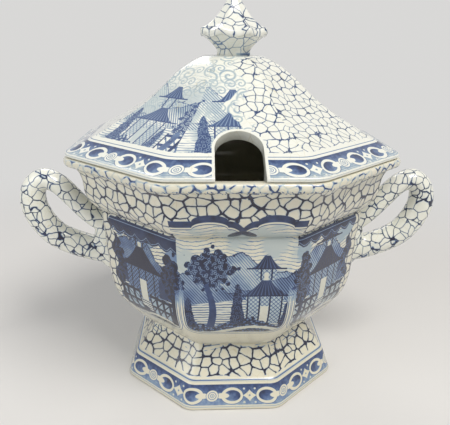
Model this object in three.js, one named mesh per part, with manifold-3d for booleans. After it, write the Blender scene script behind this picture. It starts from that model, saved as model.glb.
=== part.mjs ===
// Octagonal covered sauce tureen with a pedestal foot, two loop handles and a lid with a ladle notch.
// Millimetres, +Z up. The foot stands on z = 0, the handles lie along X and the notch faces -Y.
// A "half" is measured along X, from the axis to the flat of an end facet.
// A "bow" says where a curve's pull lies between its two ends, as a share across and a share up.

import * as THREE from "three";
import { mergeVertices } from "three/addons/utils/BufferGeometryUtils.js";
import Module from "manifold-3d";

const wasm = await Module();
wasm.setup();

// Overall plan
const rimLength = 145.6;
const rimDepth = 131;
const facetCount = 8;
const cornerRadius = 9.4;          // of the facets' corners, at the rim
const seatGap = 0.3;               // between pieces that are stuck to or stand on each other

// Pedestal foot
const footHalf = 52.3;
const footHeight = 28;
const footEdgeRound = 1.4;
const skirtTopHalf = 48;           // the patterned skirt ends here, at a small step
const skirtHeight = 13;
const skirtStep = 1.2;
const waistHalf = 37.8;
const waistBow = [0.47, 0.45];
const footWall = 5.2;
const standingWidth = 5;           // flat ring that the tureen stands on
const footHollowBow = [0.35, 0.65];

// Bowl
const bowlWall = 4.6;
const floorThickness = 5.4;
const underBow = [0.4, 0.21];
const swellHalf = 52.2;            // end of the sloping underside
const swellHeight = 44;
const bellyBow = [0.87, 0.33];
const bellyHalf = 57.7;            // the side stands upright from here
const bellyHeight = 61.5;
const sideTopHalf = 59.4;
const sideTopHeight = 88.8;
const ledgeDepth = 1.2;            // step from the side to the collar above it
const ledgeHeight = 2;
const collarSwellBow = [0.83, 0.36];
const collarSwellHalf = 65.8;      // the collar swells out to here before it flares
const collarSwellHeight = 101;
const collarBow = [0.02, 0.85];
const collarTopHalf = 70.8;        // the flaring collar runs into the rolled rim here
const collarTopHeight = 112.6;
const rimHeight = 116.4;
const rimRound = 1.8;              // height of the rolled edge's rounding
const mouthHalf = 67.2;
const mouthRound = 1;
const mouthTaper = 1.6;            // the mouth is that much narrower at the flange's foot

// Lid
const lidInset = 0.9;              // the lid's edge stands back from the rim all round
const lidEdgeHeight = 2;
const lidWall = 3.8;
const slopeBow = [0.52, 0.47];
const slopeEndHalf = 44;           // the shallow lower slope ends here
const slopeEndHeight = 133.8;
const sweepBow = [0.48, 0.36];
const bellHalf = 28;               // the steep upper slope starts to round over here
const bellHeight = 147.2;
const crownBow = [0.55, 0.78];
const crownHalf = 13;
const crownHeight = 156.6;
const lidTopHeight = 157.1;
const flangeDrop = 5;              // locating flange below the lid's edge
const flangeWall = 3.4;
const flangeTaper = 0.6;
const flangeRound = 0.8;
const flangeClearance = 0.9;       // to the inside of the mouth

// Ladle notch in the lid's front edge
const notchWidth = 18.4;
const notchTopHeight = 129.9;

// Knob
const knobNeckHalf = 7.3;
const knobNeckHeight = 1.8;
const knobUnderHalf = 13.4;        // the underside flares out to here
const knobUnderBow = [0.2, 0.32];
const knobHalf = 14.6;
const knobEdgeHeight = 9.7;        // of the widest edge above the lid
const knobEdgeRound = 1.5;
const spireHalf = 5.4;             // the hollow slopes above the edge end here
const spireHeight = 18.4;
const spireBow = [0.55, 0.26];
const knobTipHalf = 2;
const knobHeight = 24.6;
const petalDroop = 1.3;            // each facet's edge hangs by this in its middle
const petalGather = 4;             // the larger, the more the droop keeps to the widest edge

// Loop handles
const handleSpan = 205.4;
const handleDepth = 11.8;
const lowerArmThickness = 13;
const upperArmThickness = 9.6;
const handleTopHeight = 104.4;
const lowerRootHeight = 61.2;
const upperRootHeight = 74.6;
// Bends of the arm's middle line: share of the way out, and share of the rise from its root to the top
const lowerArmBends = [[0.2, 0.036], [0.5, 0.125], [0.76, 0.26], [0.94, 0.495]];
const upperArmBends = [
  [1, 0.53], [0.965, 0.83], [0.83, 1], [0.66, 0.9],
  [0.48, 0.62], [0.27, 0.28], [0.08, 0.08],
];
const armTaper = [0.42, 0.68];     // shares along the arm between which it grows slimmer
const rootPadReach = 9;            // the pad at the roots stands this far out of the side
const rootPadDepth = 15.6;
const rootPadHeight = 33;

const rimHalf = rimLength / 2;
const depthShare = rimDepth / rimLength;
const lidHalf = rimHalf - lidInset;
const lidEdgeBase = rimHeight + seatGap;
const flangeFoot = lidEdgeBase - flangeDrop;
const mouthFootHalf = mouthHalf - mouthTaper;
const flangeHalf = mouthFootHalf - flangeClearance;
const outerRound = [1, 0];         // bows of rounded corners, turning up or turning in
const innerRound = [0, 1];

function bowTo(path, half, height, bow) {
  const from = path.currentPoint;
  const pullHalf = from.x + (half - from.x) * bow[0];
  const pullHeight = from.y + (height - from.y) * bow[1];
  path.quadraticCurveTo(pullHalf, pullHeight, half, height);
}

// Spokes to the points around an octagon of half 1 with soft corners.
// With middles, each flat also has a point in its middle.
function softOctagon(arcSteps, middles = false) {
  const radius = cornerRadius / rimHalf;
  const turn = (2 * Math.PI) / facetCount;
  const centreReach = (1 - radius) / Math.cos(turn / 2);
  const spokes = [];
  for (let side = 0; side < facetCount; side += 1) {
    if (middles) {
      spokes.push(new THREE.Vector2(Math.cos(side * turn), Math.sin(side * turn)));
    }
    const corner = (side + 0.5) * turn;
    for (let step = 0; step <= arcSteps; step += 1) {
      const angle = (side + step / arcSteps) * turn;
      const x = centreReach * Math.cos(corner) + radius * Math.cos(angle);
      const y = centreReach * Math.sin(corner) + radius * Math.sin(angle);
      spokes.push(new THREE.Vector2(x, y));
    }
  }
  return spokes.map((spoke) => new THREE.Vector2(spoke.x, spoke.y * depthShare));
}

// A turned body whose outline (half, height) is drawn out to the octagon.
function drawnTurning(outline, spokes) {
  const geometry = new THREE.LatheGeometry(outline, spokes.length);
  const place = geometry.attributes.position;
  for (let column = 0; column <= spokes.length; column += 1) {
    const spoke = spokes[column % spokes.length];
    outline.forEach((point, level) => {
      place.setXYZ(column * outline.length + level, spoke.x * point.x, spoke.y * point.x, point.y);
    });
  }
  return geometry;
}

function toSolid(geometry) {
  const bare = geometry.clone();
  bare.deleteAttribute("normal");
  bare.deleteAttribute("uv");
  const merged = mergeVertices(bare, 1e-4);
  const index = merged.index.array;
  const kept = [];
  for (let start = 0; start < index.length; start += 3) {
    const [a, b, c] = index.slice(start, start + 3);
    if (a !== b && b !== c && c !== a) {
      kept.push(a, b, c);
    }
  }
  const triVerts = new Uint32Array(kept);
  const vertProperties = new Float32Array(merged.attributes.position.array);
  return new wasm.Manifold(new wasm.Mesh({ numProp: 3, vertProperties, triVerts }));
}

function toGeometry(solid) {
  const mesh = solid.getMesh();
  const geometry = new THREE.BufferGeometry();
  geometry.setAttribute("position", new THREE.BufferAttribute(mesh.vertProperties, 3));
  geometry.setIndex(new THREE.BufferAttribute(mesh.triVerts, 1));
  geometry.computeVertexNormals();
  return geometry;
}

function glazed(name, geometry, color) {
  const material = new THREE.MeshStandardMaterial({ color, roughness: 0.2, metalness: 0 });
  const mesh = new THREE.Mesh(geometry, material);
  mesh.name = name;
  return mesh;
}

// The outside of the bowl, from the axis under its floor to the top of the rolled rim.
// grow makes it larger all round, to cut the roots of the handles with.
function drawBowlOutside(path, grow = 0) {
  const base = footHeight + seatGap;
  path.moveTo(0, base);
  path.lineTo(waistHalf + grow, base);
  bowTo(path, swellHalf + grow, swellHeight, underBow);
  bowTo(path, bellyHalf + grow, bellyHeight, bellyBow);
  path.lineTo(sideTopHalf + grow, sideTopHeight);
  bowTo(path, sideTopHalf - ledgeDepth + grow, sideTopHeight + ledgeHeight, innerRound);
  bowTo(path, collarSwellHalf + grow, collarSwellHeight, collarSwellBow);
  bowTo(path, collarTopHalf + grow, collarTopHeight, collarBow);
  bowTo(path, rimHalf + grow, rimHeight - rimRound, outerRound);
  bowTo(path, rimHalf - rimRound + grow, rimHeight, innerRound);
}

// The inside of the bowl, from the top of the rim down to the axis on its floor.
function drawBowlInside(path) {
  const floor = footHeight + seatGap + floorThickness;
  const slant = bowlWall * Math.SQRT1_2;
  path.lineTo(mouthHalf + mouthRound, rimHeight);
  bowTo(path, mouthHalf, rimHeight - mouthRound, outerRound);
  path.lineTo(mouthFootHalf, flangeFoot);
  const downShare = (bow) => bow.map((share) => 1 - share);
  bowTo(path, collarSwellHalf - bowlWall, collarSwellHeight, downShare(collarBow));
  bowTo(path, sideTopHalf - ledgeDepth - bowlWall, sideTopHeight, downShare(collarSwellBow));
  path.lineTo(bellyHalf - bowlWall, bellyHeight);
  bowTo(path, swellHalf - slant, swellHeight + slant, downShare(bellyBow));
  bowTo(path, waistHalf - bowlWall, floor, downShare(underBow));
  path.lineTo(0, floor);
}

function makeBowl() {
  const path = new THREE.Path();
  drawBowlOutside(path);
  drawBowlInside(path);
  return glazed("bowl", drawnTurning(path.getPoints(6), softOctagon(3)), 0xefe9db);
}

function bowlBlank(grow) {
  const path = new THREE.Path();
  drawBowlOutside(path, grow);
  path.lineTo(0, rimHeight);
  return toSolid(drawnTurning(path.getPoints(6), softOctagon(3)));
}

// The foot is open underneath, and its top seat carries the bowl.
function makeFoot() {
  const path = new THREE.Path();
  const inner = footHalf - standingWidth;
  const stepTop = skirtHeight + skirtStep;
  path.moveTo(inner, 0);
  path.lineTo(footHalf - footEdgeRound, 0);
  bowTo(path, footHalf, footEdgeRound, outerRound);
  path.lineTo(skirtTopHalf, skirtHeight);
  bowTo(path, skirtTopHalf - skirtStep, stepTop, innerRound);
  bowTo(path, waistHalf, footHeight, waistBow);
  path.lineTo(waistHalf - footWall, footHeight);
  bowTo(path, inner - footEdgeRound, footEdgeRound, footHollowBow);
  path.lineTo(inner, 0);
  return glazed("foot", drawnTurning(path.getPoints(6), softOctagon(3)), 0xe6e0d2);
}

function lidShell() {
  const path = new THREE.Path();
  const inner = flangeHalf - flangeWall;
  const slant = lidWall * Math.SQRT1_2;
  path.moveTo(0, lidTopHeight - lidWall);
  path.lineTo(crownHalf - slant, crownHeight - lidWall);
  bowTo(path, bellHalf - slant, bellHeight - slant, crownBow.map((share) => 1 - share));
  bowTo(path, slopeEndHalf - slant, slopeEndHeight - lidWall, sweepBow.map((share) => 1 - share));
  bowTo(path, inner, lidEdgeBase + flangeWall / 2, slopeBow.map((share) => 1 - share));
  path.lineTo(inner, flangeFoot);
  path.lineTo(flangeHalf - flangeRound, flangeFoot);
  bowTo(path, flangeHalf, flangeFoot + flangeRound, outerRound);
  path.lineTo(flangeHalf + flangeTaper, lidEdgeBase);
  path.lineTo(lidHalf - lidEdgeHeight / 2, lidEdgeBase);
  bowTo(path, lidHalf, lidEdgeBase + lidEdgeHeight / 2, outerRound);
  bowTo(path, lidHalf - lidEdgeHeight / 2, lidEdgeBase + lidEdgeHeight, innerRound);
  bowTo(path, slopeEndHalf, slopeEndHeight, slopeBow);
  bowTo(path, bellHalf, bellHeight, sweepBow);
  bowTo(path, crownHalf, crownHeight, crownBow);
  path.lineTo(knobNeckHalf, lidTopHeight);
  path.lineTo(0, lidTopHeight);
  return toSolid(drawnTurning(path.getPoints(6), softOctagon(3)));
}

// An arch that is pushed through the lid's front slope, square to its face and open at the edge.
function notchCutter() {
  const half = notchWidth / 2;
  const rise = slopeEndHeight - lidEdgeBase - lidEdgeHeight;
  const run = (lidHalf - slopeEndHalf) * depthShare;
  const slope = Math.atan2(rise, run);
  const length = (notchTopHeight - lidEdgeBase) / Math.sin(slope);
  const arch = new THREE.Shape();
  arch.moveTo(-half, -notchWidth);
  arch.lineTo(half, -notchWidth);
  arch.lineTo(half, length - half);
  arch.absarc(0, length - half, half, 0, Math.PI, false);
  const inward = flangeDrop + flangeWall + lidWall + lidEdgeHeight;
  const depth = inward + lidWall + lidEdgeHeight;
  const geometry = new THREE.ExtrudeGeometry(arch, { depth, bevelEnabled: false, curveSegments: 10 });
  geometry.translate(0, 0, -inward);
  geometry.rotateX(slope);
  geometry.translate(0, -lidHalf * depthShare, lidEdgeBase);
  return toSolid(geometry);
}

function makeLid() {
  return glazed("lid", toGeometry(lidShell().subtract(notchCutter())), 0xf4f1ea);
}

// A flaring, faceted knob whose eight facets hang like petals at their widest.
function makeKnob() {
  const base = lidTopHeight + seatGap;
  const edge = base + knobEdgeHeight;
  const path = new THREE.Path();
  path.moveTo(0, base);
  path.lineTo(knobNeckHalf, base);
  path.lineTo(knobNeckHalf, base + knobNeckHeight);
  bowTo(path, knobUnderHalf, edge - knobEdgeRound, knobUnderBow);
  bowTo(path, knobHalf, edge, outerRound);
  bowTo(path, knobUnderHalf, edge + knobEdgeRound, innerRound);
  bowTo(path, spireHalf, base + spireHeight, spireBow);
  path.lineTo(knobTipHalf, base + knobHeight - knobTipHalf / 2);
  bowTo(path, 0, base + knobHeight, innerRound);
  const geometry = drawnTurning(path.getPoints(5), softOctagon(2, true));
  const place = geometry.attributes.position;
  for (let index = 0; index < place.count; index += 1) {
    const x = place.getX(index);
    const y = place.getY(index) / depthShare;
    const petal = (1 + Math.cos(facetCount * Math.atan2(y, x))) / 2;
    const hang = petalDroop * petal * (Math.hypot(x, y) / knobHalf) ** petalGather;
    place.setZ(index, Math.max(base, place.getZ(index) - hang));
  }
  return glazed("lid_knob", geometry, 0xf4f1ea);
}

// Middle line of the right-hand arm, out of the side at the lower root and back in at the upper one.
function armLine() {
  const wall = sideTopHalf;
  const reach = (handleSpan - lowerArmThickness) / 2 - wall;
  const top = handleTopHeight - upperArmThickness / 2;
  const bend = (root) => ([out, up]) => new THREE.Vector3(wall + reach * out, 0, root + (top - root) * up);
  const points = [
    new THREE.Vector3(wall - bowlWall, 0, lowerRootHeight),
    ...lowerArmBends.map(bend(lowerRootHeight)),
    ...upperArmBends.map(bend(upperRootHeight)),
    new THREE.Vector3(wall - bowlWall, 0, upperRootHeight),
  ];
  return new THREE.CatmullRomCurve3(points, false, "centripetal");
}

// A closed rod bent along the arm's line, thick at the lower root and slimmer at the upper one.
function bentArm() {
  const rod = new THREE.CylinderGeometry(1, 1, 1, 12, 36);
  const line = armLine();
  const across = new THREE.Vector3(0, 1, 0);
  const place = rod.attributes.position;
  for (let index = 0; index < place.count; index += 1) {
    const along = 0.5 - place.getY(index);
    const taper = THREE.MathUtils.smoothstep(along, ...armTaper);
    const thickness = THREE.MathUtils.lerp(lowerArmThickness, upperArmThickness, taper);
    const outward = across.clone().cross(line.getTangentAt(along));
    const point = line.getPointAt(along);
    point.addScaledVector(outward, (place.getX(index) * thickness) / 2);
    point.addScaledVector(across, (place.getZ(index) * handleDepth) / 2);
    place.setXYZ(index, point.x, point.y, point.z);
  }
  return toSolid(rod);
}

// The pad that fills the fork of the two roots at the side.
function rootPad() {
  const pad = new THREE.SphereGeometry(1, 20, 14);
  pad.scale(rootPadReach, rootPadDepth / 2, rootPadHeight / 2);
  pad.translate(sideTopHalf, 0, (lowerRootHeight + upperRootHeight) / 2);
  return toSolid(pad);
}

function makeHandle(name, turn) {
  const handle = bentArm().add(rootPad()).subtract(bowlBlank(seatGap));
  const mesh = glazed(name, toGeometry(handle), 0xf1ede3);
  mesh.rotation.z = turn;
  return mesh;
}

const tureen = new THREE.Group();
tureen.add(makeBowl(), makeFoot());
tureen.add(makeHandle("handle_right", 0), makeHandle("handle_left", Math.PI));
const cover = new THREE.Group();
cover.add(makeLid(), makeKnob());
tureen.add(cover);

export default tureen;
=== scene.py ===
import math

import bmesh
import bpy
from mathutils import Matrix, Vector


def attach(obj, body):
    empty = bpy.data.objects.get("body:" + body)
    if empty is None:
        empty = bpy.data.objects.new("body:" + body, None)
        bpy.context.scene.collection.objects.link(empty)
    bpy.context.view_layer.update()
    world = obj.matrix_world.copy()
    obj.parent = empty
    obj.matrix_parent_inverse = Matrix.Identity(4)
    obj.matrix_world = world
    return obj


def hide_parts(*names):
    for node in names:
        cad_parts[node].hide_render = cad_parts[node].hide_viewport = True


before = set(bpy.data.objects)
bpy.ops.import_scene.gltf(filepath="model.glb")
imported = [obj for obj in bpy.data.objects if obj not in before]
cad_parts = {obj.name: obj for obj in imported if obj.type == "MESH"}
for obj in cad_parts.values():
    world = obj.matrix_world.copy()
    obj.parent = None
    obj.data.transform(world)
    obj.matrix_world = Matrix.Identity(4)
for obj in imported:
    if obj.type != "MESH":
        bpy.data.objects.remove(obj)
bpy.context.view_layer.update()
mm = 0.001
eighth = math.pi / 4

# The plan that every level of the tureen shares, for a half of 1
plan = {
    "depthShare": 131 / 145.6,
    "cornerRadius": 9.4 / 72.8,
    "cornerSteps": 6,
    "flatCuts": 5,
}

camera = {
    "turn": -3.125,      # degrees round the tureen
    "height": 20.633,
    "roll": 0.903,
    "distance": 245.381,
    "target": (0, 0, 80),
    "focal": 487.883,    # in pixels of the photograph
    "middle": (230.697, 215.834),
    "photo": (450, 425),
}

inks = {
    "wash": (0.38, 0.47, 0.53),
    "pale": (0.155, 0.235, 0.40),
    "mid": (0.042, 0.078, 0.205),
    "deep": (0.010, 0.012, 0.038),
}

# One cream glaze for every piece, with painted light in its four colours: darker and warmer on the bowl
# and foot as painted shade and a painted warm reflection, cooler on the lid and lighter on the handles
# as painted light from above
glazesWithPaintedLight = {
    "bowl": (0.73, 0.695, 0.585),
    "foot": (0.71, 0.67, 0.55),
    "lid": (0.815, 0.815, 0.765),
    "handle": (0.85, 0.845, 0.785),
}


def bend(start, end, pull, steps):
    # a quadratic bend without its first point; pull is a share across and a share up
    across = start[0] + (end[0] - start[0]) * pull[0]
    up = start[1] + (end[1] - start[1]) * pull[1]
    points = []
    for step in range(1, steps + 1):
        t = step / steps
        a, b, c = (1 - t) ** 2, 2 * t * (1 - t), t * t
        points.append((a * start[0] + b * across + c * end[0], a * start[1] + b * up + c * end[1]))
    return points


def drawOutline(longest, start, *moves):
    # a move is (half, height) for a straight or (half, height, pull, steps) for a bend
    points = [start]
    for move in moves:
        if len(move) == 2:
            points.append(move)
        else:
            points += bend(points[-1], move[:2], move[2], move[3])
    # more points on long straights, so that faces stay short
    split = [points[0]]
    for start, end in zip(points, points[1:]):
        count = max(1, math.ceil(math.dist(start, end) / longest))
        for step in range(1, count + 1):
            t = step / count
            split.append((start[0] + (end[0] - start[0]) * t, start[1] + (end[1] - start[1]) * t))
    return split


def lengthOf(points):
    return sum(math.dist(a, b) for a, b in zip(points, points[1:]))


def roundedOctagon(bm, half, height):
    # an eight-sided face with rounded corners, flats towards x and y
    bmesh.ops.create_circle(bm, cap_ends=True, segments=8, radius=1 / math.cos(eighth / 2),
                            matrix=Matrix.Rotation(eighth / 2, 4, "Z"))
    bmesh.ops.bevel(bm, geom=bm.verts[:], affect="VERTICES", offset_type="OFFSET",
                    offset=plan["cornerRadius"] * math.tan(eighth / 2),
                    segments=plan["cornerSteps"], profile=0.5, material=-1)
    flats = [e for e in bm.edges if e.calc_length() > 0.4]
    bmesh.ops.subdivide_edges(bm, edges=flats, cuts=plan["flatCuts"])
    bmesh.ops.scale(bm, verts=bm.verts[:], vec=(half * mm, half * mm * plan["depthShare"], 1))
    bmesh.ops.translate(bm, verts=bm.verts[:], vec=(0, 0, height * mm))


def onlyVerts(geom):
    return [g for g in geom if isinstance(g, bmesh.types.BMVert)]


def growRing(bm, edges):
    # a copy of the ring joined to it by faces; gives the copy's vertices and edges
    grown = bmesh.ops.extrude_edge_only(bm, edges=edges)["geom"]
    return onlyVerts(grown), [g for g in grown if isinstance(g, bmesh.types.BMEdge)]


def raiseRings(bm, points):
    # extrudes the ring's edges from level to level; the length walked is kept on the vertices
    walk = bm.verts.layers.float["walk"]
    level = points[0]
    walked = 0
    edges = bm.edges[:]
    for nextLevel in points[1:]:
        walked += math.dist(level, nextLevel)
        verts, edges = growRing(bm, edges)
        factor = nextLevel[0] / level[0]
        bmesh.ops.scale(bm, verts=verts, vec=(factor, factor, 1))
        bmesh.ops.translate(bm, verts=verts, vec=(0, 0, (nextLevel[1] - level[1]) * mm))
        for v in verts:
            v[walk] = walked
        level = nextLevel
    return edges


def turnedPiece(points, closed=False):
    bm = bmesh.new()
    bm.verts.layers.float.new("walk")
    roundedOctagon(bm, *points[0])
    if closed:
        bmesh.ops.delete(bm, geom=bm.faces[:], context="FACES_ONLY")
    edges = raiseRings(bm, points)
    if closed:
        bmesh.ops.remove_doubles(bm, verts=bm.verts[:], dist=1e-6)
    else:
        bmesh.ops.contextual_create(bm, geom=edges)
    bmesh.ops.recalc_face_normals(bm, faces=bm.faces[:])
    return bm


def planAngle(point):
    # 0 at the front, growing towards +X, before the plan is squeezed in y
    return math.atan2(point.x, -point.y / plan["depthShare"])


def wrapUv(bm, half):
    # "wrap": millimetres round the piece and up its outline
    # "facet": millimetres from the facet's middle, and half the facet's width
    walk = bm.verts.layers.float["walk"]
    wrap = bm.loops.layers.uv.new("wrap")
    facet = bm.loops.layers.uv.new("facet")
    side = bm.faces.layers.float.new("side")
    squeeze = [math.hypot(math.cos(n * eighth), math.sin(n * eighth) * plan["depthShare"])
               for n in range(8)]
    widths = [2 * half * math.tan(eighth / 2) * share for share in squeeze]
    for face in bm.faces:
        index = round(planAngle(face.calc_center_median()) / eighth)
        if index == -4:
            index = 4    # the print's join runs down the left back corner
        turn = index * eighth
        normal = Vector((math.sin(turn), -math.cos(turn)))
        along = Vector((math.cos(turn), math.sin(turn)))
        steps = range(index) if index > 0 else range(index, 0)
        middle = math.copysign(sum((widths[n] + widths[n + 1]) / 2 for n in steps), index)
        face[side] = index % 8
        for loop in face.loops:
            flat = Vector((loop.vert.co.x, loop.vert.co.y / plan["depthShare"])) / mm
            reach = max(flat.dot(normal), 0.01)
            aside = flat.dot(along) * squeeze[index]
            loop[wrap].uv = (middle + aside / reach * half, loop.vert[walk])
            loop[facet].uv = (aside, reach * math.tan(eighth / 2) * squeeze[index])


def meshFrom(bm, name):
    mesh = bpy.data.meshes.new(name)
    bm.to_mesh(mesh)
    bm.free()
    return mesh


def addObject(name, data):
    made = bpy.data.objects.new(name, data)
    bpy.context.scene.collection.objects.link(made)
    return made


def finishPiece(bm, name, body, node, materials, half):
    wrapUv(bm, half)
    for face in bm.faces:
        face.smooth = True
    piece = addObject(name, meshFrom(bm, name))
    for material in materials:
        piece.data.materials.append(material)
    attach(piece, body)
    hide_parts(node)


class Tone:
    # a number that nodes work out at each point of the surface; sums with it add math nodes
    def __init__(self, sketch, socket):
        self.sketch = sketch
        self.socket = socket

    def __add__(self, other):
        return self.sketch.math("ADD", self, other)

    def __sub__(self, other):
        return self.sketch.math("SUBTRACT", self, other)

    def __rsub__(self, other):
        return self.sketch.math("SUBTRACT", other, self)

    def __mul__(self, other):
        return self.sketch.math("MULTIPLY", self, other)

    def __truediv__(self, other):
        return self.sketch.math("DIVIDE", self, other)

    def __rtruediv__(self, other):
        return self.sketch.math("DIVIDE", other, self)

    def __abs__(self):
        return self.sketch.math("ABSOLUTE", self)

    __radd__ = __add__
    __rmul__ = __mul__


class Sketch:
    # draws with nodes: each shape is a tone from 0 to 1 at each point of the surface
    def __init__(self, tree):
        self.tree = tree
        self.count = 0

    def node(self, kind, sources=(), **settings):
        made = self.tree.nodes.new(kind)
        made.location = (self.count % 20 * 180, -(self.count // 20) * 280)
        self.count += 1
        for name, setting in settings.items():
            setattr(made, name, setting)
        for name, source in dict(sources).items():
            self.feed(made.inputs[name], source)
        return made

    def feed(self, socket, source):
        if isinstance(source, Tone):
            source = source.socket
        if isinstance(source, bpy.types.NodeSocket):
            self.tree.links.new(source, socket)
        else:
            socket.default_value = source

    def math(self, operation, *sources):
        made = self.node("ShaderNodeMath", enumerate(sources), operation=operation)
        return Tone(self, made.outputs[0])

    def vector(self, operation, *sources):
        return self.node("ShaderNodeVectorMath", enumerate(sources), operation=operation)

    def split(self, source):
        return [Tone(self, part) for part in self.node("ShaderNodeSeparateXYZ", {0: source}).outputs]

    def most(self, a, *others):
        for other in others:
            a = self.math("MAXIMUM", a, other)
        return a

    def wave(self, a, length, height, shift=0.0):
        # a sine of that length and height
        return self.math("SINE", a * (2 * math.pi / length) + shift) * height

    def repeat(self, a, period):
        # a wrapped into -period/2 .. period/2
        return self.math("WRAP", a, period / 2, -period / 2)

    def above(self, a, at, soft=0.25):
        return self.step(a, at, soft, 0.0, 1.0)

    def below(self, a, at, soft=0.25):
        return self.step(a, at, soft, 1.0, 0.0)

    def step(self, a, at, soft, low, high):
        sources = {"Value": a, "From Min": at - soft / 2, "From Max": at + soft / 2,
                   "To Min": low, "To Max": high}
        made = self.node("ShaderNodeMapRange", sources, interpolation_type="SMOOTHSTEP")
        return Tone(self, made.outputs["Result"])

    def between(self, a, low, high, soft=0.25):
        return self.above(a, low, soft) * self.below(a, high, soft)

    def line(self, a, at, width, soft=0.2):
        # a thin line where a passes a value
        return self.below(abs(a - at), width / 2, soft)

    def point(self, x, y=0.0, z=0.0):
        return Tone(self, self.node("ShaderNodeCombineXYZ", enumerate((x, y, z))).outputs[0])

    def reach(self, x, y):
        return Tone(self, self.vector("LENGTH", self.point(x, y)).outputs["Value"])

    def noise(self, point, scale, detail=2.0, output="Fac"):
        made = self.node("ShaderNodeTexNoise", {"Vector": point, "Scale": scale, "Detail": detail})
        return Tone(self, made.outputs[output])

    def cells(self, point, scale, feature, dimensions="2D", randomness=1.0, output="Distance"):
        sources = {"Vector": point, "Scale": scale, "Randomness": randomness}
        made = self.node("ShaderNodeTexVoronoi", sources, voronoi_dimensions=dimensions, feature=feature)
        return Tone(self, made.outputs[output])

    def curls(self, x, y, size, pitch):
        # a spiral line in each cell of a loose grid, as drawn clouds have
        point = self.point(x, y)
        heart = self.cells(point, 1 / size, "F1", randomness=0.7, output="Position")
        right, up, _ = self.split(self.vector("SUBTRACT", point, heart).outputs[0])
        turned = self.math("ARCTAN2", up, right) * (pitch / (2 * math.pi))
        reach = self.reach(right, up)
        spiral = self.line(self.repeat(reach - turned, pitch), 0.0, pitch * 0.36, pitch * 0.3)
        return spiral * self.below(reach, size * 0.42, 0.8)

    def lay(self, under, tone, mask):
        # tone laid over what is there, where the mask is 1
        return under * (1.0 - mask) + mask * tone

    def group(self, tree, **sources):
        return Tone(self, self.node("ShaderNodeGroup", sources, node_tree=tree).outputs[0])

    def place(self):
        # the point on the object in millimetres, and its x, y and z
        metres = self.node("ShaderNodeTexCoord").outputs["Object"]
        scaled = self.node("ShaderNodeVectorMath", {0: metres, "Scale": 1 / mm}, operation="SCALE")
        return scaled.outputs[0], *self.split(scaled.outputs[0])

    def uvParts(self, layer):
        return self.split(self.node("ShaderNodeUVMap", uv_map=layer).outputs[0])[:2]

    def facetNumber(self):
        # 0 at the front, 2 at the right end, 4 at the back, 6 at the left end
        return Tone(self, self.node("ShaderNodeAttribute", attribute_name="side").outputs["Fac"])

    def ramp(self, source, *stops):
        # a stop is a position and a colour; the first stands at 0 and the last at 1
        made = self.node("ShaderNodeValToRGB")
        elements = made.color_ramp.elements
        for element, (_, colour) in zip(elements, (stops[0], stops[-1])):
            element.color = (*colour, 1)
        for position, colour in stops[1:-1]:
            elements.new(position).color = (*colour, 1)
        self.feed(made.inputs[0], source)
        return made.outputs["Color"]

    def tint(self, colour, amount, tint, blend="MIX"):
        sources = {"Factor": amount, 6: colour, 7: (*tint, 1)}
        return self.node("ShaderNodeMix", sources, data_type="RGBA", blend_type=blend).outputs[2]

    def bump(self, height, strength, distance, under=None):
        sources = {"Strength": strength, "Distance": distance, "Height": height}
        if under:
            sources["Normal"] = under
        return self.node("ShaderNodeBump", sources).outputs[0]

    def seen(self):
        # 1 for what the camera sees, straight or in a gloss
        path = self.node("ShaderNodeLightPath")
        return self.most(path.outputs["Is Camera Ray"], path.outputs["Is Glossy Ray"])

    def mix(self, share, first, second):
        return self.node("ShaderNodeMixShader", {0: share, 1: first.outputs[0], 2: second.outputs[0]})

    def finish(self, shader, output="ShaderNodeOutputMaterial"):
        self.node(output, {"Surface": shader.outputs[0]})


def newGroup(name, **inputs):
    tree = bpy.data.node_groups.new(name, "ShaderNodeTree")
    for inputName, kind in inputs.items():
        tree.interface.new_socket(name=inputName, in_out="INPUT", socket_type="NodeSocket" + kind)
    tree.interface.new_socket(name="Tone", in_out="OUTPUT", socket_type="NodeSocketFloat")
    sketch = Sketch(tree)
    sockets = sketch.node("NodeGroupInput").outputs
    return tree, sketch, {inputName: Tone(sketch, sockets[inputName]) for inputName in inputs}


def endGroup(sketch, tone):
    sketch.node("NodeGroupOutput", {0: tone})


pebbles = {
    "randomness": 0.8,
    "wobble": 0.9,         # millimetres that the lines wander
    "rounding": {"2D": 0.42, "3D": 0.22},      # how much the lines swell where they meet
    "clusterFrom": {"2D": 0.86, "3D": 1.05},   # distance from a cell's heart, in cells
    "petals": 4.2,         # petals to a cell in the dark clusters
}


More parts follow.
